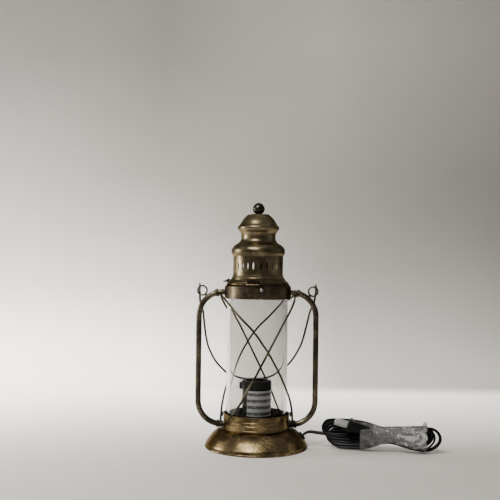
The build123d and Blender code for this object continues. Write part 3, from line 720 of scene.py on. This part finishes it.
def make_wrap():
    """Wrinkled film round the middle of the hank, smooth where it is taut over the plug."""
    start, end = WRAP_SPAN
    rings = []
    for i in range(WRAP_COLUMNS + 1):
        along = start + (end - start) * i / WRAP_COLUMNS
        low, high, front, back = film_section(along)
        middle, half_height = (low + high) / 2, (high - low) / 2
        centre, half_depth = (front + back) / 2, (front - back) / 2
        slack = TAUT_SLACK + (1.0 - TAUT_SLACK) * smooth_step(along, *TAUT_TO)
        ring = []
        for j in range(WRAP_COUNT):
            angle = 2 * math.pi * j / WRAP_COUNT
            c, s = math.cos(angle), math.sin(angle)
            out = half_depth * math.copysign(abs(c) ** WRAP_CORNER, c)
            height = half_height * math.copysign(abs(s) ** WRAP_CORNER, s)
            place = Vector((along * 0.11, out * 0.2, height * 0.2 + along * 0.05))
            grow = 1.0 + slack * (fold_height(place) - FOLD_MIDDLE) * FOLD_GROWTH
            shift = slack * FOLD_SHIFT * noise.noise(place * 2.2)
            lifted = max(WRAP_LOWEST, middle + height * grow)
            ring.append(on_hank(along + shift, lifted, centre + out * grow))
        rings.append(ring)
    wrap = add_piece("film_wrap", loft("film_wrap", rings, closed_ends=False), MATERIALS["clear_film"])
    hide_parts("cord_wrap")
    return wrap


# ---- stage and lights -------------------------------------------------------------------------------
def stage_paper():
    """Pale paper with painted shade: darker to the right, darkening with height on the left and lightening
    with height on the wall on the right, and darker far out on the left.
    """
    shader = Shader("studio_paper_painted_shade", roughness=0.9)
    axes = shader.axes()
    across = shader.math("ADD", shader.math("MULTIPLY", axes["X"], 0.5), 0.5)
    clouds = shader.math("MULTIPLY", shader.math("SUBTRACT", shader.noise(1.7, 2.0), 0.5), 0.35)
    tone = shader.math("ADD", across, clouds)
    # Painted shade: the paper darkens from left to right, as the light falls off across the stage.
    shade = shader.ramp(
        tone, (0.12, (0.90, 0.87, 0.83)), (0.5, (0.70, 0.672, 0.635)), (0.84, (0.50, 0.475, 0.445)))
    # Painted light and shade by height: the left side is brightest at its foot and darkens upwards; the wall
    # on the right is dark low down, where the lantern's shadow falls, and lighter higher up.
    left_painted_light = shader.ramp(axes["Z"], (0.06, 1.0), (0.20, 0.70), (0.5, 0.44), (0.80, 0.34))
    right_wall_painted_shade = shader.ramp(axes["Z"], (0.0, 0.38), (0.25, 0.38), (0.5, 0.46), (0.85, 0.70))
    far_off = shader.ramp(axes["Y"], (0.49, 0.0), (0.58, 1.0))
    right_painted_light = shader.mix(far_off, (1.0, 1.0, 1.0), right_wall_painted_shade)
    # Painted shade: far out on the left, beyond x = -0.75 m, the paper darkens.
    painted_dark_far_left = shader.ramp(shader.math("SUBTRACT", -0.75, axes["X"]), (0.0, 1.0), (0.35, 0.4))
    height = shader.mix(shader.ramp(across, (0.38, 0.0), (0.60, 1.0)), left_painted_light, right_painted_light)
    return shader.set(base_color=shader.multiply(shader.multiply(shade, height), painted_dark_far_left))


def make_stage():
    """Pale floor that curves up into a backdrop."""
    profile = [(STAGE_FRONT, 0.0), (SWEEP_FROM, 0.0)]
    for angle in range(6, 90, 6):
        turn = math.radians(angle)
        rise = SWEEP_RADIUS - SWEEP_RADIUS * math.cos(turn)
        profile.append((SWEEP_FROM + SWEEP_RADIUS * math.sin(turn), rise))
    wall_at = SWEEP_FROM + SWEEP_RADIUS
    profile += [(wall_at, SWEEP_RADIUS), (wall_at, STAGE_TOP)]
    shape = bmesh.new()
    sides = (-STAGE_HALF_WIDTH, STAGE_HALF_WIDTH)
    rows = [[shape.verts.new((x, y, z)) for x in sides] for y, z in profile]
    for (a, b), (c, d) in zip(rows, rows[1:]):
        shape.faces.new((a, b, d, c))
    mesh = bpy.data.meshes.new("stage")
    shape.to_mesh(mesh)
    shape.free()
    mesh.shade_smooth()
    mesh.materials.append(stage_paper())
    stage = new_object("stage", mesh)


def area_light(name, place, target, size, energy, colour, spread):
    """Rectangular light at the place that points at the target."""
    data = bpy.data.lights.new(name, "AREA")
    data.shape = "RECTANGLE"
    data.size, data.size_y = size
    data.energy = energy
    data.color = colour
    data.spread = math.radians(spread)
    light = new_object(name, data)
    light.location = place
    light.rotation_mode = "QUATERNION"
    light.rotation_quaternion = (Vector(target) - Vector(place)).to_track_quat("-Z", "Y")


def make_world():
    """Soft studio surround: dim in front of the lantern, lighter above and behind."""
    world = bpy.data.worlds.new("studio")
    world.use_nodes = True
    tree = world.node_tree
    coords = tree.nodes.new("ShaderNodeTexCoord")
    split = tree.nodes.new("ShaderNodeSeparateXYZ")
    ramp = tree.nodes.new("ShaderNodeMapRange")
    for socket, value in WORLD_RAMP.items():
        ramp.inputs[socket].default_value = value
    background = tree.nodes["Background"]
    background.inputs["Color"].default_value = WORLD_COLOUR
    tree.links.new(coords.outputs["Generated"], split.inputs[0])
    tree.links.new(split.outputs["Y"], ramp.inputs["Value"])
    tree.links.new(ramp.outputs[0], background.inputs["Strength"])
    bpy.context.scene.world = world


# ---- build ------------------------------------------------------------------------------------------
make_camera()
make_stage()
make_world()
for light_facts in LIGHTS:
    area_light(*light_facts)
dress_cad_nodes()
plug_pieces = make_plug()
wrap_pieces = [make_wrap(), make_tab()]
make_cord()
